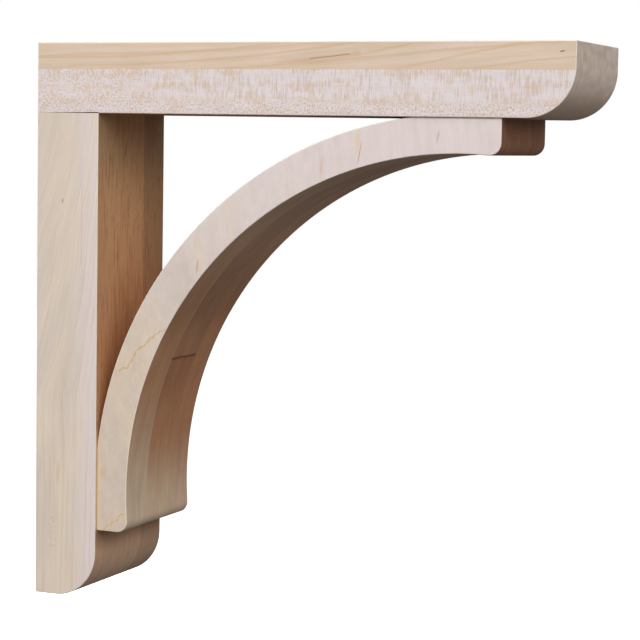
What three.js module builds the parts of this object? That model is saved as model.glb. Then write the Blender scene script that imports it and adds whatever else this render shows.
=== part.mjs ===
// A wooden corbel bracket: an arm under the shelf, a leg against the wall and a curved brace between
// them, all glued up from boards of light maple.
//
// Millimetres, +Z up. +X points out from the wall and Y runs across the width. The origin is on the
// wall face, in the middle of its height and width, where the bracket is fixed.

import * as THREE from 'three';

const inch = 25.4;

// The whole bracket
const height = 12 * inch;
const projection = 12 * inch;
const width = 3 * inch;

// The arm, two boards glued one on the other
const armThickness = 1.5 * inch;
const armTopBoardThickness = 0.5625 * inch;
const armEndRadius = 1 * inch;

// The leg, two boards glued side by side under the arm
const legThickness = 1.5 * inch;
const legFarBoardWidth = 0.9375 * inch;
const legFootRadius = 1 * inch;

// The brace, a quarter ring in three layers side by side. Two flat seats are cut into its outer round,
// one against the leg and one against the arm.
const braceThickness = 0.78125 * inch;
const braceSoffitRadius = 7.4375 * inch;
const braceSeatDepth = 0.0625 * inch;
const braceEndRun = 0.84375 * inch;
const braceEndRadius = 0.25 * inch;
const braceInset = 0.0625 * inch;
const braceNearLayerWidth = 0.9375 * inch;
const braceFarLayerWidth = 0.78125 * inch;

// The butt joint in the brace's middle layer, as an angle above the ring's level line
const braceJointAngle = THREE.MathUtils.degToRad(22.75);

// How far a straight step may cut inside a true arc
const arcTolerance = 0.01;

// Levels and faces that several pieces share
const topLevel = height / 2;
const armGlueLevel = topLevel - armTopBoardThickness;
const armUnderside = topLevel - armThickness;
const footLevel = topLevel - height;
const nearSide = -width / 2;
const farSide = width / 2;
const legGlueFace = farSide - legFarBoardWidth;
const braceNearSide = nearSide + braceInset;
const braceFarSide = farSide - braceInset;
const braceNearGlueFace = braceNearSide + braceNearLayerWidth;
const braceFarGlueFace = braceFarSide - braceFarLayerWidth;

// The ring that the brace is a quarter of
const ringOuterRadius = braceSoffitRadius + braceThickness;
const ringX = legThickness + ringOuterRadius - braceSeatDepth;
const ringZ = armUnderside - ringOuterRadius + braceSeatDepth;

// Each seat ends where the outer round leaves it, this angle past the ring's level or upright line.
const seatAngle = Math.acos((ringOuterRadius - braceSeatDepth) / ringOuterRadius);

// The rounded corner between the soffit and each squared end touches both from inside the wood: its
// centre is this far past the ring's centre along the end's run, and this far out from it.
const cornerRun = braceEndRun - braceEndRadius;
const cornerReach = Math.sqrt((braceSoffitRadius + braceEndRadius) ** 2 - cornerRun ** 2);
const cornerAngle = Math.atan2(cornerRun, cornerReach);

// Light maple, in the shades of the separate boards
const tanMaple = new THREE.MeshStandardMaterial({ color: 0xd4bfa6, roughness: 0.62, metalness: 0 });
const fleckedMaple = new THREE.MeshStandardMaterial({ color: 0xd8ccc4, roughness: 0.62, metalness: 0 });
const creamMaple = new THREE.MeshStandardMaterial({ color: 0xd1c3b7, roughness: 0.62, metalness: 0 });
const pinkMaple = new THREE.MeshStandardMaterial({ color: 0xd7c9c2, roughness: 0.62, metalness: 0 });

// A board whose outline lies in the X-Z plane, filling the width from its near to its far face. Both
// side faces are set from those two values, so boards that are glued together share a face exactly.
function board(name, outline, nearFace, farFace, material) {
  const geometry = new THREE.ExtrudeGeometry(outline, { depth: 1, bevelEnabled: false });
  const position = geometry.getAttribute('position');
  for (let i = 0; i < position.count; i += 1) {
    const y = position.getZ(i) > 0 ? nearFace : farFace;
    position.setXYZ(i, position.getX(i), y, position.getY(i));
  }
  geometry.computeVertexNormals();
  const mesh = new THREE.Mesh(geometry, material);
  mesh.name = name;
  return mesh;
}

// The points of an arc, its two ends among them. Angles run anticlockwise from +X.
function arcPoints(x, z, radius, start, end) {
  const step = 2 * Math.acos(1 - arcTolerance / radius);
  const steps = Math.max(1, Math.ceil(Math.abs(end - start) / step));
  return Array.from({ length: steps + 1 }, (_, i) => {
    const angle = start + ((end - start) * i) / steps;
    return new THREE.Vector2(x + radius * Math.cos(angle), z + radius * Math.sin(angle));
  });
}

// An upright section that runs from the wall out to the reach given, with its lower front corner
// rounded, cut between two levels. The rounded corner is cut through too where a level crosses it.
function sectionBetween(low, high, reach, underside, radius) {
  const cornerX = reach - radius;
  const cornerZ = underside + radius;
  const angleAt = (level) => Math.asin(THREE.MathUtils.clamp((level - cornerZ) / radius, -1, 0));
  return new THREE.Shape([
    new THREE.Vector2(0, high),
    new THREE.Vector2(0, low),
    ...arcPoints(cornerX, cornerZ, radius, angleAt(low), angleAt(high)),
    new THREE.Vector2(cornerX + radius * Math.cos(angleAt(high)), high),
  ]);
}

// The brace's squared end on the leg: from the seat's top, down and round the corner to the soffit
function lowEndPoints() {
  return [
    new THREE.Vector2(legThickness, ringZ - braceEndRun),
    ...arcPoints(ringX - cornerReach, ringZ - cornerRun, braceEndRadius, -Math.PI / 2, cornerAngle),
  ];
}

// The same end under the arm, from the soffit round the corner and up to the seat
function highEndPoints() {
  const start = (3 * Math.PI) / 2 - cornerAngle;
  return [
    ...arcPoints(ringX + cornerRun, ringZ + cornerReach, braceEndRadius, start, 2 * Math.PI),
    new THREE.Vector2(ringX + braceEndRun, armUnderside),
  ];
}

// The brace seen from the side: up the soffit and back down the outer round. It has both its ends, or
// one of them and the butt joint, which is cut square across the ring.
function braceOutline(hasLowEnd, hasHighEnd) {
  const joint = Math.PI - braceJointAngle;
  const soffitStart = hasLowEnd ? Math.PI + cornerAngle : joint;
  const soffitEnd = hasHighEnd ? Math.PI / 2 - cornerAngle : joint;
  const roundStart = hasHighEnd ? Math.PI / 2 + seatAngle : joint;
  const roundEnd = hasLowEnd ? Math.PI - seatAngle : joint;
  return new THREE.Shape([
    ...(hasLowEnd ? lowEndPoints() : []),
    ...arcPoints(ringX, ringZ, braceSoffitRadius, soffitStart, soffitEnd),
    ...(hasHighEnd ? highEndPoints() : []),
    ...arcPoints(ringX, ringZ, ringOuterRadius, roundStart, roundEnd),
  ]);
}

function makeArm() {
  const arm = new THREE.Group();
  const topOutline = sectionBetween(armGlueLevel, topLevel, projection, armUnderside, armEndRadius);
  const bottomOutline = sectionBetween(armUnderside, armGlueLevel, projection, armUnderside, armEndRadius);
  arm.add(board('arm_top_board', topOutline, nearSide, farSide, tanMaple));
  arm.add(board('arm_bottom_board', bottomOutline, nearSide, farSide, fleckedMaple));
  return arm;
}

function makeLeg() {
  const leg = new THREE.Group();
  const outline = sectionBetween(footLevel, armUnderside, legThickness, footLevel, legFootRadius);
  leg.add(board('leg_near_board', outline, nearSide, legGlueFace, creamMaple));
  leg.add(board('leg_far_board', outline, legGlueFace, farSide, creamMaple));
  return leg;
}

function makeBrace() {
  const brace = new THREE.Group();
  const whole = braceOutline(true, true);
  const low = braceOutline(true, false);
  const high = braceOutline(false, true);
  brace.add(board('brace_near_layer', whole, braceNearSide, braceNearGlueFace, pinkMaple));
  brace.add(board('brace_middle_low_layer', low, braceNearGlueFace, braceFarGlueFace, pinkMaple));
  brace.add(board('brace_middle_high_layer', high, braceNearGlueFace, braceFarGlueFace, pinkMaple));
  brace.add(board('brace_far_layer', whole, braceFarGlueFace, braceFarSide, pinkMaple));
  return brace;
}

const corbel = new THREE.Group();
corbel.add(makeArm(), makeLeg(), makeBrace());

export default corbel;
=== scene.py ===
"""The looks of a wooden corbel bracket: every glued board of the CAD frame gets a detailed board in its
place, with lightly eased edges and sanded, unfinished maple drawn by shader nodes.

All lengths are metres and all angles radians unless a name says otherwise. Inside the materials, places
are in millimetres of the part's own frame: X out from the wall, Y across the width and Z up.
"""

from math import acos, asin, atan2, ceil, cos, pi, radians, sin, sqrt

import bpy
import numpy as np
from bpy.props import FloatProperty, FloatVectorProperty, IntProperty, PointerProperty
from mathutils import Matrix, Vector


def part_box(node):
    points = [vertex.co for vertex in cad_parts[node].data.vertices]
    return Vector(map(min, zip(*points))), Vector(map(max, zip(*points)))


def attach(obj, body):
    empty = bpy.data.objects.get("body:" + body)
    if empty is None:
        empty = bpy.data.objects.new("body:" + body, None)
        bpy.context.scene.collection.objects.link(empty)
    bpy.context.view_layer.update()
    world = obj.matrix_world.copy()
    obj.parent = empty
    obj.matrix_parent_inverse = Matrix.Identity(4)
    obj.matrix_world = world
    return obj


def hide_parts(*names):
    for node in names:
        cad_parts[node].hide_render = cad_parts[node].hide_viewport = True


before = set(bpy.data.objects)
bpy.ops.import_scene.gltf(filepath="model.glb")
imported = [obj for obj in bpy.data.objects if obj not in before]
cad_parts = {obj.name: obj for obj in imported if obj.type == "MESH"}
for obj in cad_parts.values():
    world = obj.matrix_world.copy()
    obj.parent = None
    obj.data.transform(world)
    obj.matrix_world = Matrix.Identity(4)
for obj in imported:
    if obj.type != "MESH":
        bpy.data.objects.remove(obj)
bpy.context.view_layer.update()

bl_info = {
    "name": "Corbel bracket",
    "version": (1, 0, 0),
    "blender": (4, 5, 0),
    "location": "3D View > Sidebar > Corbel",
    "description": "Builds the boards, the wood and the studio of a corbel bracket",
    "category": "Object",
}

MILLIMETRES_PER_METRE = 1000.0

# Where an outline turns by more than this, its faces meet in an edge
SHARP_TURN = radians(30)

# Two places closer than this are one place
SAME_PLACE = 1e-6

# The axes by number, and a distance from the wall that takes in the whole bracket, for glued faces
X_AXIS, Y_AXIS, Z_AXIS = range(3)
FULL_REACH = 1.0


# Sizes and colours that can be set

def length(name, description, default):
    return FloatProperty(name=name, description=description, default=default, min=0.0, unit="LENGTH")


def wood_colour(name, description, default):
    return FloatVectorProperty(
        name=name, description=description, default=default, size=3, min=0.0, max=1.0,
        subtype="COLOR_GAMMA",
    )


class CorbelShape(bpy.types.PropertyGroup):
    """Sizes that the boards' boxes in the frame don't give."""

    arm_end_radius: length("Arm end radius", "Round of the arm's lower front corner", 0.0254)
    foot_radius: length("Foot radius", "Round of the leg's lower front corner", 0.0254)
    soffit_radius: length("Soffit radius", "Inner radius of the brace's ring", 0.1889125)
    brace_thickness: length("Brace thickness", "Inner to outer round of the brace", 0.01984375)
    seat_depth: length("Seat depth", "How deep the outer round is cut flat on leg and arm", 0.0015875)
    brace_end_radius: length("Brace end radius", "Round of the brace's lower end corners", 0.00635)
    joint_angle: FloatProperty(
        name="Joint angle", description="Butt joint above the ring's level line",
        default=radians(22.75), subtype="ANGLE",
    )
    eased_edge: length("Eased edge", "Width of the sanded round on every outer edge", 0.0006)
    eased_steps: IntProperty(
        name="Eased steps", description="Facets across an eased edge", default=3, min=1, max=6,
    )
    arc_tolerance: length("Arc tolerance", "How far a straight step may cut inside an arc", 0.00001)


class CorbelColours(bpy.types.PropertyGroup):
    """Main shades of the maple boards."""

    tan: wood_colour("Tan", "Upper arm board", (0.81, 0.738, 0.652))
    tan_line: wood_colour("Tan line", "Growth lines of the upper arm board", (0.76, 0.62, 0.47))
    lilac: wood_colour("Lilac", "Lower arm board between its flecks", (0.855, 0.815, 0.82))
    fleck: wood_colour("Fleck", "Ray flecks of the lower arm board", (0.82, 0.715, 0.57))
    cream: wood_colour("Cream", "Leg", (0.815, 0.76, 0.708))
    cream_line: wood_colour("Cream line", "Growth lines of the leg", (0.775, 0.695, 0.60))
    pink: wood_colour("Pink", "Brace", (0.85, 0.80, 0.79))
    pink_line: wood_colour("Pink line", "Growth lines of the brace", (0.79, 0.715, 0.665))
    # Partly painted shade: the leg's inner face is painted browner where shade falls on it
    warm_with_painted_shade: wood_colour("Warm", "Inner face of the leg", (0.80, 0.645, 0.48))
    # Partly painted shade: the soffit's brown is partly its sawn colour and partly shade painted in
    soffit: wood_colour("Soffit", "Sawn underside of the brace", (0.72, 0.53, 0.405))
    end_grain: wood_colour("End grain", "Sawn ends", (0.86, 0.785, 0.728))


# Outlines of the boards, as rows of X and Z going anticlockwise as seen from the near side

def arc(x, z, radius, start, end):
    """Points at centre + radius * (cos a, sin a), for evenly spaced angles a from start to end."""
    tolerance = bpy.context.scene.corbel_shape.arc_tolerance
    step = 2 * acos(1 - tolerance / radius)
    angle = np.linspace(start, end, max(1, ceil(abs(end - start) / step)) + 1)
    return np.column_stack((x + radius * np.cos(angle), z + radius * np.sin(angle)))


def rows(*points):
    return np.array(points, dtype=float)


def section_outline(low, high, reach, underside, radius, stops=()):
    """A board from the wall out to its reach, between two levels, with its lower front corner round.

    The round's points lie on a circle, from the angle where it crosses the lower level to the angle
    where it crosses the upper one. Stops are extra points along the lower level."""
    corner_x = reach - radius
    corner_z = underside + radius
    first, last = (asin(min(0.0, max(-1.0, (level - corner_z) / radius))) for level in (low, high))
    return np.vstack((
        rows((0, high), (0, low)),
        *[rows((stop, low)) for stop in stops],
        arc(corner_x, corner_z, radius, first, last),
        rows((corner_x + radius * cos(last), high)),
    ))


class Ring:
    """The ring that the brace is a quarter of, from the box of its near layer and its own sizes."""

    def __init__(self, shape):
        low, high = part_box("brace_near_layer")
        self.leg_face = low.x
        self.seat_level = high.z
        self.soffit = shape.soffit_radius
        self.outer = shape.soffit_radius + shape.brace_thickness
        self.x = self.leg_face + self.outer - shape.seat_depth
        self.z = self.seat_level - self.outer + shape.seat_depth
        self.end_run = high.x - self.x
        self.end_radius = shape.brace_end_radius
        self.joint = pi - shape.joint_angle
        self.seat_angle = acos((self.outer - shape.seat_depth) / self.outer)
        self.corner_run = self.end_run - self.end_radius
        self.corner_reach = sqrt((self.soffit + self.end_radius) ** 2 - self.corner_run ** 2)
        self.corner_angle = atan2(self.corner_run, self.corner_reach)

    def low_end(self):
        """The squared end on the leg: from the seat, down and round its corner to the soffit."""
        x = self.x - self.corner_reach
        z = self.z - self.corner_run
        return np.vstack((
            rows((self.leg_face, self.z - self.end_run)),
            arc(x, z, self.end_radius, -pi / 2, self.corner_angle),
        ))

    def high_end(self):
        """The squared end under the arm: from the soffit, round its corner and up to the seat."""
        x = self.x + self.corner_run
        z = self.z + self.corner_reach
        return np.vstack((
            arc(x, z, self.end_radius, 3 * pi / 2 - self.corner_angle, 2 * pi),
            rows((self.x + self.end_run, self.seat_level)),
        ))

    def outline(self, has_low_end, has_high_end):
        """Up the soffit and back down the outer round, with squared ends or cut at the butt joint."""
        soffit_start = pi + self.corner_angle if has_low_end else self.joint
        soffit_end = pi / 2 - self.corner_angle if has_high_end else self.joint
        round_start = pi / 2 + self.seat_angle if has_high_end else self.joint
        round_end = pi - self.seat_angle if has_low_end else self.joint
        soffit = arc(self.x, self.z, self.soffit, soffit_start, soffit_end)
        outer = arc(self.x, self.z, self.outer, round_start, round_end)
        low_end = [self.low_end()[:-1]] if has_low_end else []
        high_end = [self.high_end()[1:]] if has_high_end else []
        return np.vstack((*low_end, soffit, *high_end, outer))


# Boards

def edge_easing(outline, corners, ends, glued_faces):
    """How much each edge is eased, 0 or 1: an edge round a side face is, and so is an edge across the
    width where the outline turns sharply, but none that lies in a glued face is.

    A glued face is given by its axis, its level on that axis, and how far from the wall it reaches."""
    count = len(outline)
    before = outline - np.roll(outline, 1, axis=0)
    after = np.roll(outline, -1, axis=0) - outline
    turn = np.arctan2(
        before[:, 0] * after[:, 1] - before[:, 1] * after[:, 0],
        (before * after).sum(axis=1),
    )
    around_side = (ends[:, 0] < count) == (ends[:, 1] < count)
    turning = np.abs(turn)[ends[:, 0] % count] > SHARP_TURN
    easing = np.where(around_side | turning, 1.0, 0.0)
    for axis, level, reach in glued_faces:
        in_plane = np.abs(corners[ends][:, :, axis] - level).max(axis=1) < SAME_PLACE
        within = corners[ends][:, :, X_AXIS].max(axis=1) < reach + SAME_PLACE
        easing[in_plane & within] = 0.0
    return easing


def add_board(name, outline, glued_faces, material):
    """A board in the place of the frame's node of that name.

    The outline is laid at the node's near and far face, each filled as one flat face, and joined
    point to point by four-sided faces. The outer edges are then eased by a narrow round."""
    shape = bpy.context.scene.corbel_shape
    low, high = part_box(name)
    count = len(outline)
    corners = np.empty((2 * count, 3))
    corners[:, X_AXIS] = np.tile(outline[:, 0], 2)
    corners[:, Y_AXIS] = np.repeat((low.y, high.y), count)
    corners[:, Z_AXIS] = np.tile(outline[:, 1], 2)
    here = np.arange(count)
    there = np.roll(here, -1)
    rim = np.column_stack((here, here + count, there + count, there))
    faces = [here.tolist(), (here[::-1] + count).tolist(), *rim.tolist()]
    mesh = bpy.data.meshes.new(name + "_wood")
    mesh.from_pydata(corners.tolist(), [], faces)
    ends = np.empty(2 * len(mesh.edges), dtype=np.int32)
    mesh.edges.foreach_get("vertices", ends)
    easing = edge_easing(outline, corners, ends.reshape(-1, 2), glued_faces)
    mesh.attributes.new("bevel_weight_edge", "FLOAT", "EDGE").data.foreach_set("value", easing)
    mesh.shade_smooth()
    mesh.set_sharp_from_angle(angle=SHARP_TURN)
    mesh.materials.append(material)
    board = bpy.data.objects.new(name + "_wood", mesh)
    bpy.context.scene.collection.objects.link(board)
    bevel = board.modifiers.new("Eased edges", "BEVEL")
    bevel.limit_method = "WEIGHT"
    bevel.width = shape.eased_edge
    bevel.segments = shape.eased_steps
    bevel.use_clamp_overlap = False
    bevel.harden_normals = True
    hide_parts(name)
    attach(board, "root")
    return board


# Shader maths

# Numbers of the Mix node's factor, its two colours and its blended colour
FACTOR, FIRST_COLOUR, SECOND_COLOUR, BLENDED_COLOUR = 0, 6, 7, 2

WHITE = (1.0, 1.0, 1.0)


def linear(colour):
    """Scene-linear values of a colour given as it looks on screen, by the sRGB curve."""
    return tuple(c / 12.92 if c <= 0.04045 else ((c + 0.055) / 1.055) ** 2.4 for c in colour)


class Field:
    """A number or vector that varies over a surface, so that shader maths reads as plain formulas."""

    def __init__(self, graph, socket):
        self.graph = graph
        self.socket = socket

    def math(self, operation, *others):
        return self.graph.math(operation, self, *others)

    def __add__(self, other):
        return self.math("ADD", other)

    def __radd__(self, other):
        return self.graph.math("ADD", other, self)

    def __sub__(self, other):
        return self.math("SUBTRACT", other)

    def __rsub__(self, other):
        return self.graph.math("SUBTRACT", other, self)

    def __mul__(self, other):
        return self.math("MULTIPLY", other)

    def __rmul__(self, other):
        return self.graph.math("MULTIPLY", other, self)

    def __truediv__(self, other):
        return self.math("DIVIDE", other)

    def __rtruediv__(self, other):
        return self.graph.math("DIVIDE", other, self)

    def __pow__(self, other):
        return self.math("POWER", other)

    def __rpow__(self, other):
        return self.graph.math("POWER", other, self)

    def __abs__(self):
        return self.math("ABSOLUTE")

    def root(self):
        return self.math("SQRT")

    def fraction(self):
        return self.math("FRACT")

    def least(self, other):
        return self.math("MINIMUM", other)

    def most(self, other):
        return self.math("MAXIMUM", other)

    def rise(self, low, high):
        """0 below the low value, 1 above the high one, and smooth between them."""
        settings = {"interpolation_type": "SMOOTHSTEP"}
        values = {"Value": self, "From Min": low, "From Max": high}
        return self.graph.add("ShaderNodeMapRange", settings, values)

    def fall(self, low, high):
        """1 below the low value, 0 above the high one, and smooth between them."""
        return 1.0 - self.rise(low, high)


class Graph:
    """The nodes of one material."""

    def __init__(self, tree):
        self.tree = tree
        tree.nodes.clear()

    def add(self, kind, settings, values, output=0):
        """Adds one node: first its settings, then each input's value or link."""
        node = self.tree.nodes.new(kind)
        for name, setting in settings.items():
            setattr(node, name, setting)
        for key, value in values.items():
            if isinstance(value, Field):
                self.tree.links.new(value.socket, node.inputs[key])
            else:
                node.inputs[key].default_value = value
        return Field(self, node.outputs[output]) if node.outputs else None

    def math(self, operation, *terms):
        return self.add("ShaderNodeMath", {"operation": operation}, dict(enumerate(terms)))

    def vector(self, x, y, z):
        return self.add("ShaderNodeCombineXYZ", {}, {"X": x, "Y": y, "Z": z})

    def parts(self, vector):
        return [self.add("ShaderNodeSeparateXYZ", {}, {0: vector}, axis) for axis in "XYZ"]

    def place(self):
        """X, Y and Z of the surface in millimetres, in the part's own frame."""
        metres = self.add("ShaderNodeTexCoord", {}, {}, "Object")
        return self.parts(self.scaled(metres, MILLIMETRES_PER_METRE))

    def facing(self):
        """X, Y and Z of the surface's direction."""
        return self.parts(self.add("ShaderNodeTexCoord", {}, {}, "Normal"))

    def scaled(self, vector, factor):
        return self.add("ShaderNodeVectorMath", {"operation": "SCALE"}, {0: vector, "Scale": factor})

    def tinted(self, colour, tint):
        """A colour multiplied by a tint, channel by channel."""
        return self.add("ShaderNodeVectorMath", {"operation": "MULTIPLY"}, {0: colour, 1: tint})

    def noise(self, x, y, z, detail=2.0, roughness=0.5):
        """Soft noise about 0, whose blobs measure about 1 in each direction: a place divided by a length
        gives blobs of that length."""
        values = {"Vector": self.vector(x, y, z), "Scale": 1.0, "Detail": detail, "Roughness": roughness}
        return self.add("ShaderNodeTexNoise", {"noise_dimensions": "3D"}, values) - 0.5

    def blend(self, amount, colour, other):
        """One colour where the amount is 0 and the other where it is 1."""
        values = {
            FACTOR: amount,
            FIRST_COLOUR: self.opaque(colour),
            SECOND_COLOUR: self.opaque(other),
        }
        return self.add("ShaderNodeMix", {"data_type": "RGBA"}, values, BLENDED_COLOUR)

    @staticmethod
    def opaque(colour):
        return colour if isinstance(colour, Field) else (*colour, 1.0)

    def surface(self, values):
        """Ends the material in one surface shader with the values given."""
        shader = self.add("ShaderNodeBsdfPrincipled", {}, values)
        self.add("ShaderNodeOutputMaterial", {}, {"Surface": shader})


# Wood

# Length along the fibres and width across them, in millimetres, of what every board shows
BEND_LENGTH, BEND_WIDTH = 130.0, 45.0
FIBRE_LENGTH, FIBRE_WIDTH = 12.0, 0.8
STREAK_LENGTH, STREAK_WIDTH = 55.0, 1.7
CLOUD_LENGTH, CLOUD_WIDTH = 50.0, 14.0
PORE_LENGTH, PORE_WIDTH = 2.4, 0.22

# Bare, sanded wood: its roughness, its specular level, and the depth of its fibres in metres
BARE_ROUGHNESS = 0.62
SPECULAR_LEVEL = 0.35
FIBRE_DEPTH = 0.00006

# Marks on the near side fade out between these two places across the width
NEAR_SIDE_FADE = (-30.0, -20.0)

# A wandering line shakes over about this length
SHAKE_LENGTH = 2.6


class Wood:
    """One board's wood: growth rings round a far pith, fibres, clouds and the marks placed on it.

    Along runs with the fibres, and across and through are the two directions square to it."""

    def __init__(self, name, seed):
        self.material = bpy.data.materials.new(name)
        self.material.use_nodes = True
        self.graph = Graph(self.material.node_tree)
        self.x, self.y, self.z = self.graph.place()
        self.near_side = self.y.fall(*NEAR_SIDE_FADE)
        self.seed = seed

    def grain(self, along, across, through, pith, ring, wander):
        """Reads the rings, fibres and clouds.

        Rings are the fraction of distance / ring, where distance is measured from the pith in the
        across and through directions, after across is shifted by slow noise. Late wood grows as the
        third power of that fraction and ends at the next ring, stronger in some years than in others.
        The rim is every face but the two sides."""
        g = self.graph
        seed = self.seed
        drift = g.noise(along / BEND_LENGTH + seed, across / BEND_WIDTH, through / BEND_WIDTH) * wander
        aside = across + drift - pith[0]
        deep = through - pith[1]
        year = (aside * aside + deep * deep).root() / ring
        strength = g.noise(year * 0.9 + seed, 0.0, 0.0, 1.0).rise(-0.15, 0.25)
        grown = year.fraction()
        self.late = grown ** 3.0 * (1.0 - grown ** 9.0) * (0.25 + strength * 1.6)
        self.fibre = g.noise(
            along / FIBRE_LENGTH, across / FIBRE_WIDTH + seed, through / FIBRE_WIDTH, 3.0, 0.65
        )
        self.streak = g.noise(
            along / STREAK_LENGTH + seed, across / STREAK_WIDTH, through / STREAK_WIDTH, 3.0, 0.6
        )
        self.cloud = g.noise(along / CLOUD_LENGTH, across / CLOUD_WIDTH + seed, through / CLOUD_WIDTH)
        pore = g.noise(along / PORE_LENGTH, across / PORE_WIDTH, through / PORE_WIDTH + seed, 1.0)
        self.pore = pore.rise(0.16, 0.26)
        self.outward, sideways, _ = g.facing()
        self.side = sideways * sideways
        self.rim = self.side.fall(0.02, 0.25)

    def spot(self, x, z, lean, long, wide):
        """1 in the middle of a long spot on the near side, fading to 0 at its rim: the spot is where
        (u / long)^2 + (v / wide)^2 is under 1, with u along its lean from upright and v across."""
        across = self.x - x
        up = self.z - z
        u = (across * sin(lean) + up * cos(lean)) / long
        v = (across * cos(lean) - up * sin(lean)) / wide
        return (u * u + v * v).fall(0.0, 1.0) * self.near_side

    def trail(self, points, wide, wobble=0.0):
        """1 along a line through the points on the near side, fading to 0 at the width given."""
        return self.distance(points, wobble).fall(0.0, wide) * self.near_side

    def distance(self, points, wobble):
        """How far a place is from a line through the points: on each stretch, the distance is measured
        to the nearest place between its two ends. Noise of the wobble's size shakes the line."""
        g = self.graph
        noise_x, noise_z = self.x / SHAKE_LENGTH, self.z / SHAKE_LENGTH
        here_x = self.x + g.noise(noise_x, noise_z, 3.0) * wobble
        here_z = self.z + g.noise(noise_x, noise_z, 9.0) * wobble
        nearest = None
        for (x0, z0), (x1, z1) in zip(points, points[1:]):
            run = x1 - x0
            climb = z1 - z0
            across = here_x - x0
            up = here_z - z0
            share = ((across * run + up * climb) / (run * run + climb * climb)).most(0.0).least(1.0)
            aside = across - share * run
            above = up - share * climb
            distance = (aside * aside + above * above).root()
            nearest = distance if nearest is None else nearest.least(distance)
        return nearest

    def finish(self, colour, worn_highlight_colour, wear_and_highlight, contrast):
        """Fibres and pores darken the wood a little, and eased edges are rubbed paler, partly wear and
        partly a painted highlight.

        An eased edge slants between a side and the rim: there the root of side * (1 - side), with side
        the square of the direction's Y, is above 0."""
        g = self.graph
        slant = (self.side * (1.0 - self.side).most(0.0)).root()
        # Paler eased edges: partly wear, partly a painted highlight along the edges
        worn_highlight = slant.rise(0.05, 0.4) * (wear_and_highlight + self.streak * 0.8)
        shade = 1.0 + self.fibre * contrast + self.cloud * 0.10 - self.pore * 0.06
        height = self.fibre * 0.8 - self.pore * 0.5 + self.streak * 0.3
        bump = {"Strength": 1.0, "Distance": FIBRE_DEPTH, "Height": height}
        g.surface({
            "Base Color": g.scaled(g.blend(worn_highlight, colour, worn_highlight_colour), shade),
            "Roughness": BARE_ROUGHNESS + self.fibre * 0.12 + self.rim * 0.13 - worn_highlight * 0.08,
            "Normal": g.add("ShaderNodeBump", {}, bump, "Normal"),
            "Specular IOR Level": SPECULAR_LEVEL,
        })
        return self.material


def near_line(distance, wide):
    """1 where a distance is 0, falling to 0 at the width given."""
    return abs(distance).fall(0.0, wide)


# The arm's upper board. Lines are rows of X and Z, and a spot is its X and Z, lean, half length and
# half width, all in millimetres but the lean.

TAN_PINKER = linear((0.838, 0.757, 0.69))
TAN_BAND = linear((0.81, 0.695, 0.565))
TAN_LOW = linear((0.82, 0.71, 0.58))
TAN_STREAK = linear((0.76, 0.59, 0.42))
TAN_HAIRLINE = linear((0.48, 0.38, 0.31))
TAN_SPECK = linear((0.45, 0.40, 0.36))
GLUE_LINE = linear((0.62, 0.50, 0.40))
# Painted shade where the arm's front end turns under
END_TURN_PAINTED_SHADE = linear((0.77, 0.65, 0.55))
# Eased edges of the arm, partly wear and partly a painted highlight
ARM_WORN_HIGHLIGHT = linear((0.93, 0.87, 0.81))

TAN_LINES = [
    [(-2.0, 144.2), (42.0, 144.4), (76.0, 145.9), (122.0, 149.2), (145.0, 151.6)],
    [(20.0, 139.7), (60.0, 140.5), (90.0, 141.9), (129.0, 144.7), (168.0, 149.2), (188.0, 151.8)],
    [(163.0, 141.0), (190.0, 145.5), (218.0, 151.0)],
    [(212.0, 138.6), (236.0, 143.4), (255.0, 147.2), (276.0, 151.0)],
    [(252.0, 138.8), (280.0, 142.3), (307.0, 144.6)],
]
TAN_STREAK_LINE = [(125.0, 140.3), (163.0, 143.2), (190.0, 146.4)]
TAN_HAIRLINE_LINE = [(162.7, 143.6), (174.0, 144.6), (185.0, 145.9)]
TAN_SPECK_SPOT = (297.5, 147.1, radians(80), 1.9, 0.5)

# The growth lines climb from here on, at this slope, after a bend of about this length
CLIMB_START = 85.0
CLIMB_SLOPE = 0.04
CLIMB_BEND = 40.0


def tan_wood(colours):
    """Upper arm board: orange-tan lines that run along it and climb slowly from its middle on.

    The climb is (p + root of (p^2 + bend^2)) * slope, with p the distance past its start."""
    wood = Wood("tan_maple", 3.1)
    g = wood.graph
    glue_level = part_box("arm_top_board")[0].z * MILLIMETRES_PER_METRE
    past = wood.x - CLIMB_START
    climb = (past + (past * past + CLIMB_BEND ** 2).root()) * CLIMB_SLOPE
    wood.grain(wood.x, wood.z - climb, wood.y, pith=(-190.0, 60.0), ring=4.6, wander=6.0)
    pinker = g.blend(wood.cloud.rise(-0.2, 0.2), linear(colours.tan), TAN_PINKER)
    colour = g.blend(wood.late * 0.55, pinker, linear(colours.tan_line))
    for points in TAN_LINES:
        colour = g.blend(wood.trail(points, 1.1) * 0.4, colour, linear(colours.tan_line))
    colour = g.blend(wood.streak.rise(-0.1, 0.3) * 0.45, colour, TAN_BAND)
    colour = g.blend(wood.z.fall(138.5, 142.0) * 0.4, colour, TAN_LOW)
    streak = wood.trail(TAN_STREAK_LINE, 1.6, 0.8) * wood.x.rise(122.0, 165.0)
    colour = g.blend(streak * 0.5, colour, TAN_STREAK)
    colour = g.blend(wood.trail(TAN_HAIRLINE_LINE, 0.45) * 0.6, colour, TAN_HAIRLINE)
    colour = g.blend(wood.spot(*TAN_SPECK_SPOT), colour, TAN_SPECK)
    colour = g.blend(near_line(wood.z - glue_level, 0.35) * 0.3, colour, GLUE_LINE)
    return end_grain(wood, colours, colour)


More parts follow.
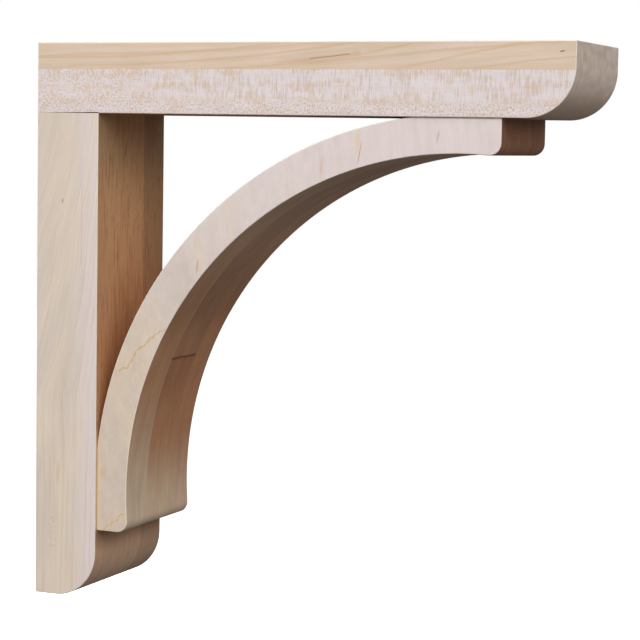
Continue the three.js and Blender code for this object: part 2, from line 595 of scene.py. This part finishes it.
def end_grain(wood, colours, colour):
    """Ends an arm board: its front end and back end are cut across the fibres, with faint upright
    lines, and the front end has painted shade where it turns under."""
    g = wood.graph
    front = wood.rim * wood.outward.rise(0.0, 0.5)
    back = wood.rim * wood.outward.fall(-0.6, -0.1)
    lines = g.noise(wood.y / 1.3, wood.z / 14.0, 0.0, 3.0, 0.6)
    rays = g.noise(wood.y / 9.0, wood.z / 5.0, 4.0, 3.0)
    cut = g.scaled(linear(colours.end_grain), 1.0 + lines * 0.5 + rays * 0.6)
    # Painted shade where the front end turns to face down
    low = wood.z.fall(116.0, 134.0) * front
    cut = g.blend(low * 0.75, cut, END_TURN_PAINTED_SHADE)
    colour = g.blend((front + back).least(1.0), colour, cut)
    return wood.finish(colour, ARM_WORN_HIGHLIGHT, 0.85, 0.2)


# The arm's lower board

FLECK_LINE = linear((0.755, 0.66, 0.59))
FLECK_DARK = linear((0.66, 0.56, 0.49))
# The arm's underside near its front end, then painted shade behind it, deepest as a painted shadow
# towards the brace
UNDERSIDE_FRONT = linear((0.72, 0.60, 0.51))
UNDERSIDE_PAINTED_SHADE = linear((0.56, 0.46, 0.41))
UNDERSIDE_PAINTED_SHADOW = linear((0.38, 0.30, 0.27))


def flecked_wood(colours):
    """Lower arm board: cut towards the pith, so rays show as short flecks across the fibres. They are
    dots near the wall and along the lower edge, and thin lines with broader patches elsewhere. Its
    underside is darker behind the front end by painted shade, deepest as a painted shadow towards the
    brace."""
    wood = Wood("flecked_maple", 7.7)
    g = wood.graph
    wood.grain(wood.x, wood.z, wood.y, pith=(20.0, 220.0), ring=2.6, wander=8.0)
    upright = g.noise(wood.x / 0.65, wood.z / 7.5, wood.y / 8.0, 2.0, 0.6)
    patch = g.noise(wood.x / 1.5, wood.z / 3.2, wood.y / 6.0)
    dots = g.noise(wood.x / 0.85, wood.z / 1.2, wood.y / 2.0, 2.0, 0.6)
    group = g.noise(wood.x / 13.0, wood.z / 7.0, wood.y / 20.0)
    at_wall = wood.x.fall(45.0, 85.0)
    at_foot = wood.z.fall(119.0, 125.0)
    dotted = (at_wall * 0.8 + at_foot).least(1.0)
    lines = (upright + group * 0.4).rise(-0.04, 0.16) * (1.0 - dotted) * 0.6
    patches = (patch + group * 0.8).rise(0.03, 0.22) * (1.0 - at_foot * 0.6)
    patches = patches * (0.7 - wood.x.rise(60.0, 260.0) * 0.26)
    speckle = (dots + group * 0.15).rise(-0.05, 0.14) * dotted * 0.9
    colour = g.blend(wood.late * 0.3, linear(colours.lilac), linear(colours.fleck))
    colour = g.blend((lines + speckle).least(0.85), colour, FLECK_LINE)
    colour = g.blend(patches, colour, linear(colours.fleck))
    colour = g.blend((dots + upright * 0.4).rise(0.14, 0.3) * 0.5, colour, FLECK_DARK)
    # Painted shade on the underside behind the front end, deepest as a painted shadow towards the brace
    shade_behind_front = wood.x.fall(255.0, 272.0)
    shadow_over_brace_end = shade_behind_front * wood.x.rise(110.0, 200.0)
    below = g.blend(shade_behind_front, UNDERSIDE_FRONT, UNDERSIDE_PAINTED_SHADE)
    below = g.blend(shadow_over_brace_end * 0.8, below, UNDERSIDE_PAINTED_SHADOW)
    colour = g.blend(wood.rim * wood.z.fall(115.0, 125.0), colour, below)
    return end_grain(wood, colours, colour)


# The leg

CREAM_WARMER = linear((0.86, 0.79, 0.71))
KNOT = linear((0.52, 0.45, 0.40))
FOOT_FLECK = linear((0.80, 0.67, 0.50))
FOOT_SPECKS = linear((0.76, 0.63, 0.47))
CREAM_HAIRLINE = linear((0.62, 0.54, 0.48))
WARM_LOW = linear((0.82, 0.635, 0.465))
WARM_LINE = linear((0.66, 0.45, 0.31))
WARM_TICK = linear((0.42, 0.24, 0.15))
FOOT_SAWN = linear((0.785, 0.66, 0.57))
FOOT_BAND = linear((0.78, 0.63, 0.51))
# Painted shadow of the brace on the leg's inner face
PAINTED_BRACE_SHADOW = linear((0.56, 0.40, 0.31))
# Painted light on the leg's inner face, beside the brace
PAINTED_LIGHT_BESIDE_BRACE = linear((0.88, 0.78, 0.62))
# Eased edges of the leg, partly wear and partly a painted highlight
LEG_WORN_HIGHLIGHT = linear((0.92, 0.86, 0.79))

# Tint of the painted shade at the top of the inner face, channel by channel
ARM_SHADE_TINT = (0.93, 0.975, 1.0)

KNOT_SPOT = (16.2, 66.4, radians(12), 1.8, 0.7)
FOOT_FLECK_SPOT = (14.5, -83.5, radians(4), 7.5, 1.5)
FOOT_SPECKS_SPOT = (11.5, -117.0, radians(2), 21.0, 4.5)
CREAM_HAIRLINE_LINE = [(28.4, 75.0), (28.3, 58.0), (28.1, 32.0)]

# The tick on the inner face: its Y and Z, half width, half length and slant
TICK_Y, TICK_Z = -7.4, 94.0
TICK_WIDE, TICK_LONG = 0.8, 5.0
TICK_SLANT = 1.2

# Node, seed, and how light the inner face is
LEG_BOARDS = [
    ("leg_near_board", 11.3, 1.0),
    ("leg_far_board", 23.9, 0.74),
]


def cream_wood(colours, name, seed, tone):
    """Leg: faint long lines that lean a little near the top, and a warmer, browner inner face, partly
    painted shade.

    The lean grows from a level of -40 up, twice as fast from 50 up, and less further from the wall."""
    wood = Wood(name, seed)
    g = wood.graph
    rise = (wood.z + 40.0).most(0.0) + (wood.z - 50.0).most(0.0)
    lean = rise * (1.0 - wood.x / 55.0) * 0.42
    wood.grain(wood.z, wood.x - lean, wood.y, pith=(-120.0, 90.0), ring=2.9, wander=12.0)
    lilac = g.blend(wood.x.rise(18.0, 38.0) * 0.7, linear(colours.cream), linear(colours.lilac))
    warmer = g.blend(wood.cloud.rise(-0.1, 0.25) * 0.5, lilac, CREAM_WARMER)
    lines = (wood.late * 0.45 + wood.streak.rise(0.0, 0.22) * 0.5).least(1.0)
    colour = g.blend(lines, warmer, linear(colours.cream_line))
    colour = g.blend(wood.spot(*KNOT_SPOT) * 0.7, colour, KNOT)
    fleck = wood.spot(*FOOT_FLECK_SPOT) * (0.45 + wood.fibre * 1.6).most(0.0)
    colour = g.blend(fleck, colour, FOOT_FLECK)
    dots = g.noise(wood.x / 0.9, wood.z / 1.7, seed, 2.0, 0.6).rise(0.02, 0.2)
    colour = g.blend(wood.spot(*FOOT_SPECKS_SPOT) * dots * 0.6, colour, FOOT_SPECKS)
    colour = g.blend(wood.trail(CREAM_HAIRLINE_LINE, 0.5, 0.4) * 0.3, colour, CREAM_HAIRLINE)
    inner = wood.rim * wood.x.rise(2.0, 8.0)
    colour = g.blend(inner, colour, leg_inner_face(wood, colours, tone))
    return wood.finish(colour, LEG_WORN_HIGHLIGHT, 0.8, 0.18)


def leg_inner_face(wood, colours, tone):
    """The browner face towards the brace, its brown partly painted shade: fine upright lines, a tick, a
    paler foot with sawn bands, a painted shadow under the brace, painted light on the strip left open
    beside it, and painted shade, cooler and darker, at the top under the arm."""
    g = wood.graph
    seed = wood.seed
    fine = g.noise(wood.y / 0.75 + seed, wood.z / 24.0, wood.y / 7.0, 3.0, 0.6).rise(-0.02, 0.24)
    lines = (fine * 0.95 + wood.streak.rise(0.0, 0.3) * 0.6).least(1.0)
    # The warm brown of this face is partly its wood and partly painted shade
    colour = g.blend(wood.z.fall(-20.0, 70.0), linear(colours.warm_with_painted_shade), WARM_LOW)
    colour = g.blend(lines, colour, WARM_LINE)
    up = (wood.z - TICK_Z) / TICK_LONG
    aside = (wood.y - TICK_Y - up * TICK_SLANT) / TICK_WIDE
    tick = (up * up + aside * aside).fall(0.0, 1.0)
    colour = g.blend(tick * 0.6, colour, WARM_TICK)
    foot = wood.z.fall(-140.0, -95.0)
    bands = g.noise(wood.y / 3.4 + seed, wood.z / 20.0, 5.0, 3.0, 0.6)
    sawn = g.blend(bands.rise(-0.1, 0.15), FOOT_SAWN, FOOT_BAND)
    colour = g.blend(foot * 0.85, colour, g.scaled(sawn, 1.0 + bands * 0.9))
    # Painted shadow of the brace's end on the leg, just below it
    brace_shadow = wood.z.rise(-129.0, -114.0) * wood.z.fall(-112.0, -106.0)
    colour = g.blend(brace_shadow * 0.75, colour, PAINTED_BRACE_SHADOW)
    # Painted light on the strip of inner face left open beside the brace's near side
    lit_beside_brace = wood.y.fall(-36.8, -36.3) * wood.z.fall(-70.0, -55.0) * wood.z.rise(-116.0, -114.0)
    colour = g.blend(lit_beside_brace * 0.8, colour, PAINTED_LIGHT_BESIDE_BRACE)
    # Painted shade at the top of the inner face, under the arm: a cooler tint, and darker towards the
    # arm
    colour = g.tinted(colour, g.blend(wood.z.rise(55.0, 100.0), WHITE, ARM_SHADE_TINT))
    painted_arm_shade = 1.0 - wood.z.rise(66.0, 106.0) * 0.24 - wood.z.rise(102.0, 114.0) * 0.06
    lightness = tone + foot * (0.35 * (1.0 - tone))
    return g.scaled(colour, painted_arm_shade * lightness)


# The brace

PINK_LOW = linear((0.795, 0.735, 0.68))
PINK_GOLDEN = linear((0.83, 0.75, 0.655))
# Painted light at the soffit's foot
SOFFIT_FOOT_PAINTED_LIGHT = linear((0.835, 0.745, 0.665))
SOFFIT_HIGH = linear((0.75, 0.61, 0.515))
SOFFIT_SEAM = linear((0.85, 0.75, 0.64))
# End grain under the arm, darkened further as a painted shadow of the arm
SOFFIT_END_GRAIN_AND_SHADOW = linear((0.575, 0.40, 0.295))
JOINT_STAIN = linear((0.55, 0.33, 0.22))
JOINT_LINE = linear((0.42, 0.22, 0.14))
# Eased edges of the brace, partly wear and partly a painted highlight
BRACE_WORN_HIGHLIGHT_LOW = linear((0.93, 0.86, 0.75))
BRACE_WORN_HIGHLIGHT_HIGH = linear((0.91, 0.865, 0.835))
TICK_BROWN = linear((0.55, 0.40, 0.30))
TICK_GOLDEN = linear((0.86, 0.74, 0.58))
TICK_ORANGE = linear((0.74, 0.55, 0.36))
TICK_PALE = linear((0.80, 0.66, 0.52))
TICK_YELLOW = linear((0.78, 0.665, 0.48))
BY_LEG = linear((0.84, 0.74, 0.575))
WANDER_HALO = linear((0.83, 0.745, 0.61))
WANDER_HIGH = linear((0.68, 0.56, 0.42))
WANDER_LOW = linear((0.74, 0.58, 0.42))

# Ticks on the near side: X, Z, lean in degrees, half length, half width, strength and shade
BRACE_TICKS = [
    (189.3, 101.2, 3, 8.5, 1.7, 0.55, TICK_GOLDEN),
    (190.5, 95.3, 10, 8.5, 0.5, 0.5, TICK_BROWN),
    (233.1, 104.6, 11, 4.4, 0.45, 0.5, TICK_BROWN),
    (98.2, 33.7, 7, 5.0, 0.7, 0.7, TICK_ORANGE),
    (169.3, 88.0, 5, 7.0, 1.1, 0.4, TICK_PALE),
    (41.8, -81.5, 8, 5.5, 2.6, 0.45, TICK_YELLOW),
]

# Wandering lines on the near side, and their shades
BRACE_WANDERS = [
    ([(79.1, -0.9), (72.6, -4.7), (66.0, -11.0), (61.6, -13.7), (59.8, -17.8), (56.8, -22.7),
      (51.5, -24.6)], WANDER_HIGH),
    ([(54.8, -104.0), (52.4, -105.0), (49.6, -108.0), (45.7, -111.1), (42.6, -113.0)], WANDER_LOW),
]

# Node, whether it has its low end and its high end, seed, tint of its soffit, and the level at which
# the soffit is brownest, where the painted light of its foot has faded
BRACE_LAYERS = [
    ("brace_near_layer", True, True, 31.7, (1.05, 1.06, 0.98), -20.0),
    ("brace_middle_low_layer", True, False, 43.1, (1.03, 1.0, 0.89), -60.0),
    ("brace_middle_high_layer", False, True, 57.9, (0.9, 0.87, 0.84), -60.0),
    ("brace_far_layer", True, True, 71.3, (1.02, 0.96, 0.88), -60.0),
]


def pink_wood(colours, ring, name, seed, tint, brownest_level, is_near, has_joint):
    """Brace: nearly plain pale faces and a browner sawn soffit, its brown partly painted shade."""
    wood = Wood(name, seed)
    g = wood.graph
    wood.grain(wood.z, wood.x + wood.z * 0.15, wood.y, pith=(60.0, -260.0), ring=4.2, wander=14.0)
    height = wood.z.rise(-45.0, 115.0)
    base = g.blend(height, PINK_LOW, linear(colours.pink))
    golden = (wood.cloud + 0.10 - height * 0.22).rise(0.0, 0.25) * 0.45
    base = g.blend(golden, base, PINK_GOLDEN)
    colour = g.blend(wood.late * (0.6 - height * 0.35), base, linear(colours.pink_line))
    mottle = g.noise(wood.x / 5.0 + seed, wood.z / 8.0, wood.y / 8.0, 3.0, 0.6)
    colour = g.scaled(colour, 1.0 + mottle * (0.32 - height * 0.18))
    if is_near:
        colour = near_brace_marks(wood, colour)
    soffit = brace_soffit(wood, colours, ring, tint, brownest_level, has_joint)
    colour = g.blend(wood.rim, colour, soffit)
    # Colour of the eased edges, partly wear and partly a painted highlight
    worn_highlight = g.blend(wood.z.rise(-75.0, 10.0), BRACE_WORN_HIGHLIGHT_LOW, BRACE_WORN_HIGHLIGHT_HIGH)
    return wood.finish(colour, worn_highlight, 1.0, 0.14)


def near_brace_marks(wood, colour):
    """The small brown ticks and the two wandering tan lines on the brace's near side."""
    g = wood.graph
    for x, z, lean, long, wide, strength, shade in BRACE_TICKS:
        colour = g.blend(wood.spot(x, z, radians(lean), long, wide) * strength, colour, shade)
    by_leg = wood.x.fall(38.6, 41.2) * wood.z.fall(-75.0, -52.0) * wood.near_side
    colour = g.blend(by_leg * 0.55, colour, BY_LEG)
    for points, shade in BRACE_WANDERS:
        distance = wood.distance(points, 4.5)
        halo = distance.fall(0.0, 3.2) * wood.near_side
        colour = g.blend(halo * 0.45, colour, WANDER_HALO)
        line = distance.fall(0.0, 0.75) * wood.near_side
        colour = g.blend(line * 0.6, colour, shade)
    return colour


def brace_soffit(wood, colours, ring, tint, brownest_level, has_joint):
    """The browner sawn soffit, its brown partly painted shade: paler at its foot by painted light,
    striped, with a pale line where the near layer is glued on, an end under the arm of darker end grain
    with a painted shadow of the arm, and a fine dark line at the butt joint.

    How far a place is past the joint is x * sin a - z * cos a, measured from the ring's centre, with
    a the joint's angle."""
    g = wood.graph
    seed = wood.seed
    glue_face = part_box("brace_near_layer")[1].y * MILLIMETRES_PER_METRE
    # Painted light at the foot, fading into the brown, itself partly painted shade
    brown = g.blend(wood.z.rise(-112.0, brownest_level), SOFFIT_FOOT_PAINTED_LIGHT, linear(colours.soffit))
    brown = g.blend(wood.z.rise(0.0, 66.0), brown, SOFFIT_HIGH)
    brown = g.scaled(brown, 1.0 - wood.z.rise(-15.0, 10.0) * wood.z.fall(18.0, 48.0) * 0.16)
    stripes = g.noise(wood.y + seed, wood.z / 40.0, wood.x / 40.0, 3.0, 0.6)
    blots = g.noise(wood.y / 9.0 + seed, wood.z / 22.0, wood.x / 22.0)
    sawn = g.scaled(g.tinted(brown, tint), 1.0 + stripes * 0.55 + blots * 0.35)
    sawn = g.blend(near_line(wood.y - glue_face, 0.7) * 0.5, sawn, SOFFIT_SEAM)
    # The end under the arm: darker end grain with a painted shadow of the arm
    end_in_arm_shadow = wood.x.rise(259.5, 262.5)
    sawn = g.blend(end_in_arm_shadow, sawn, g.scaled(SOFFIT_END_GRAIN_AND_SHADOW, 1.0 + stripes + blots))
    if has_joint:
        across = wood.x - ring.x * MILLIMETRES_PER_METRE
        up = wood.z - ring.z * MILLIMETRES_PER_METRE
        past_joint = across * sin(ring.joint) - up * cos(ring.joint)
        below = past_joint.rise(-60.0, 0.0) * past_joint.fall(0.0, 0.3)
        sawn = g.blend(below * 0.4, sawn, JOINT_STAIN)
        sawn = g.blend(near_line(past_joint, 1.5) * 0.75, sawn, JOINT_LINE)
    return sawn


# The steps, as operators

class CorbelArm(bpy.types.Operator):
    """Builds the arm's two boards, glued one on the other."""

    bl_idname = "corbel.arm"
    bl_label = "Arm"

    def execute(self, context):
        shape = context.scene.corbel_shape
        colours = context.scene.corbel_colours
        top_low, top_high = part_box("arm_top_board")
        low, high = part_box("arm_bottom_board")
        leg_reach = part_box("leg_near_board")[1].x
        radius = shape.arm_end_radius
        top = section_outline(top_low.z, top_high.z, top_high.x, low.z, radius)
        bottom = section_outline(low.z, high.z, top_high.x, low.z, radius, [leg_reach])
        glue = [(Z_AXIS, high.z, FULL_REACH)]
        board = add_board("arm_top_board", top, glue, tan_wood(colours))
        seat = [(Z_AXIS, low.z, leg_reach)]
        board = add_board("arm_bottom_board", bottom, glue + seat, flecked_wood(colours))
        return {"FINISHED"}


class CorbelLeg(bpy.types.Operator):
    """Builds the leg's two boards, glued side by side."""

    bl_idname = "corbel.leg"
    bl_label = "Leg"

    def execute(self, context):
        shape = context.scene.corbel_shape
        colours = context.scene.corbel_colours
        low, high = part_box("leg_near_board")
        outline = section_outline(low.z, high.z, high.x, low.z, shape.foot_radius)
        glue = [(Y_AXIS, high.y, FULL_REACH), (Z_AXIS, high.z, FULL_REACH)]
        for name, seed, tone in LEG_BOARDS:
            wood = cream_wood(colours, "cream_maple_" + name, seed, tone)
            add_board(name, outline, glue, wood)
        return {"FINISHED"}


class CorbelBrace(bpy.types.Operator):
    """Builds the brace's three layers, the middle one in two lengths."""

    bl_idname = "corbel.brace"
    bl_label = "Brace"

    def execute(self, context):
        colours = context.scene.corbel_colours
        ring = Ring(context.scene.corbel_shape)
        middle_low, middle_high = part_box("brace_middle_low_layer")
        glue = [
            (X_AXIS, ring.leg_face, FULL_REACH),
            (Y_AXIS, middle_low.y, FULL_REACH),
            (Y_AXIS, middle_high.y, FULL_REACH),
            (Z_AXIS, ring.seat_level, FULL_REACH),
        ]
        for name, has_low_end, has_high_end, seed, tint, brownest_level in BRACE_LAYERS:
            outline = ring.outline(has_low_end, has_high_end)
            is_near = name == "brace_near_layer"
            has_joint = not (has_low_end and has_high_end)
            wood_name = "pink_maple_" + name
            wood = pink_wood(colours, ring, wood_name, seed, tint, brownest_level, is_near, has_joint)
            add_board(name, outline, glue, wood)
        return {"FINISHED"}


# The stage

FLOOR_LEVEL = -0.75
FLOOR_RADII = (0.02, 0.5, 1.5, 4.0, 9.0)
FLOOR_STEPS = 96
FLOOR_GREY = (0.86, 0.86, 0.86)
FLOOR_PALE = (0.90, 0.90, 0.90)
FLOOR_ROUGHNESS = 0.9
FLOOR_GLOW = 0.75

# Name, place, side, power in watts and colour of each light panel, and the place they face
LIGHTS = [
    ("key", (-0.7, -2.4, 1.3), 1.4, 54.0, (1.0, 1.0, 1.0)),
    ("fill", (2.2, -1.6, 1.35), 2.0, 36.0, (1.0, 0.98, 0.96)),
    ("back", (-1.6, 2.4, 1.2), 1.6, 72.0, (1.0, 1.0, 1.0)),
]
LIT_PLACE = (0.15, 0.0, 0.0)

# How bright the sky is low down, and how much brighter overhead
SKY_LOW = 0.16
SKY_GAIN = 0.28

# The camera, as fitted to the bracket's edges in the photo, with its sensor and lens in millimetres
CAMERA_PLACE = (0.591987, -1.007995, 0.100512)
CAMERA_YAW = radians(23.473)
CAMERA_PITCH = radians(4.96)
CAMERA_ROLL = radians(0.999)
CAMERA_SENSOR = 36.0
CAMERA_LENS = 115.008


def pale_floor():
    """A round pale floor: rings of points at radius * (cos a, sin a), joined by four-sided faces."""
    angle = np.arange(FLOOR_STEPS) * 2 * pi / FLOOR_STEPS
    radius = np.array(FLOOR_RADII)
    corners = np.zeros((len(radius) * FLOOR_STEPS, 3))
    corners[:, X_AXIS] = np.outer(radius, np.cos(angle)).ravel()
    corners[:, Y_AXIS] = np.outer(radius, np.sin(angle)).ravel()
    corners[:, Z_AXIS] = FLOOR_LEVEL
    inner = np.arange((len(radius) - 1) * FLOOR_STEPS)
    beside = (inner // FLOOR_STEPS) * FLOOR_STEPS + (inner + 1) % FLOOR_STEPS
    faces = np.column_stack((inner, inner + FLOOR_STEPS, beside + FLOOR_STEPS, beside)).tolist()
    mesh = bpy.data.meshes.new("floor")
    mesh.from_pydata(corners.tolist(), [], [list(range(FLOOR_STEPS)), *faces])
    material = bpy.data.materials.new("pale_floor")
    material.use_nodes = True
    g = Graph(material.node_tree)
    x, y, z = g.place()
    mottle = g.noise(x / 60.0, y / 60.0, z, 3.0)
    g.surface({
        "Base Color": g.blend(mottle.rise(-0.3, 0.3), FLOOR_GREY, FLOOR_PALE),
        "Roughness": FLOOR_ROUGHNESS,
        "Emission Color": g.opaque(WHITE),
        "Emission Strength": FLOOR_GLOW,
    })
    mesh.materials.append(material)
    floor = bpy.data.objects.new("floor", mesh)
    bpy.context.scene.collection.objects.link(floor)
    floor.visible_diffuse = False
    floor.visible_glossy = False
    return floor


def soft_light(name, place, size, power, colour):
    """A square light panel that faces the middle of the bracket."""
    data = bpy.data.lights.new(name, "AREA")
    data.shape = "SQUARE"
    data.size = size
    data.energy = power
    data.color = colour
    light = bpy.data.objects.new(name, data)
    light.location = place
    towards = Vector(LIT_PLACE) - Vector(place)
    light.rotation_euler = towards.to_track_quat("-Z", "Y").to_euler()
    light.visible_camera = False
    bpy.context.scene.collection.objects.link(light)


def studio_world():
    """White to the camera, and a dim sky for light: brighter from above than from below."""
    world = bpy.data.worlds.new("studio")
    world.use_nodes = True
    g = Graph(world.node_tree)
    direction = g.add("ShaderNodeTexCoord", {}, {}, "Generated")
    up = g.add("ShaderNodeSeparateXYZ", {}, {0: direction}, "Z")
    sky = SKY_LOW + up.rise(-0.3, 0.6) * SKY_GAIN
    seen = g.add("ShaderNodeLightPath", {}, {}, "Is Camera Ray")
    values = {"Color": g.opaque(WHITE), "Strength": seen + (1.0 - seen) * sky}
    background = g.add("ShaderNodeBackground", {}, values)
    g.add("ShaderNodeOutputWorld", {}, {"Surface": background})
    bpy.context.scene.world = world


def photo_camera():
    """The camera, turned by its yaw, then its pitch, then its roll."""
    forward = Vector((
        -sin(CAMERA_YAW) * cos(CAMERA_PITCH),
        cos(CAMERA_YAW) * cos(CAMERA_PITCH),
        -sin(CAMERA_PITCH),
    ))
    level = Vector((cos(CAMERA_YAW), sin(CAMERA_YAW), 0.0))
    upright = level.cross(forward)
    right = level * cos(CAMERA_ROLL) + upright * sin(CAMERA_ROLL)
    up = upright * cos(CAMERA_ROLL) - level * sin(CAMERA_ROLL)
    data = bpy.data.cameras.new("camera")
    data.sensor_width = CAMERA_SENSOR
    data.lens = CAMERA_LENS
    camera = bpy.data.objects.new("camera", data)
    turn = Matrix((right, up, -forward)).transposed()
    camera.matrix_world = Matrix.Translation(CAMERA_PLACE) @ turn.to_4x4()
    bpy.context.scene.collection.objects.link(camera)
    bpy.context.scene.camera = camera


class CorbelStage(bpy.types.Operator):
    """Sets the floor, the lights, the surroundings and the camera."""

    bl_idname = "corbel.stage"
    bl_label = "Stage"

    def execute(self, context):
        pale_floor()
        for panel in LIGHTS:
            soft_light(*panel)
        studio_world()
        photo_camera()
        context.scene.view_settings.view_transform = "Standard"
        return {"FINISHED"}


class CorbelPanel(bpy.types.Panel):
    """Lists the steps and the sizes and colours that they use."""

    bl_idname = "VIEW3D_PT_corbel"
    bl_label = "Corbel bracket"
    bl_space_type = "VIEW_3D"
    bl_region_type = "UI"
    bl_category = "Corbel"

    def draw(self, context):
        layout = self.layout
        for step in STEPS:
            layout.operator(step.bl_idname)
        for group in (context.scene.corbel_shape, context.scene.corbel_colours):
            box = layout.box()
            for name in group.__annotations__:
                box.prop(group, name)


STEPS = (CorbelArm, CorbelLeg, CorbelBrace, CorbelStage)
CLASSES = (CorbelShape, CorbelColours, *STEPS, CorbelPanel)


def register():
    for cls in CLASSES:
        bpy.utils.register_class(cls)
    bpy.types.Scene.corbel_shape = PointerProperty(type=CorbelShape)
    bpy.types.Scene.corbel_colours = PointerProperty(type=CorbelColours)


def unregister():
    del bpy.types.Scene.corbel_colours
    del bpy.types.Scene.corbel_shape
    for cls in reversed(CLASSES):
        bpy.utils.unregister_class(cls)


def main():
    register()
    bpy.ops.corbel.arm()
    bpy.ops.corbel.leg()
    bpy.ops.corbel.brace()
    bpy.ops.corbel.stage()


if __name__ == "__main__":
    main()
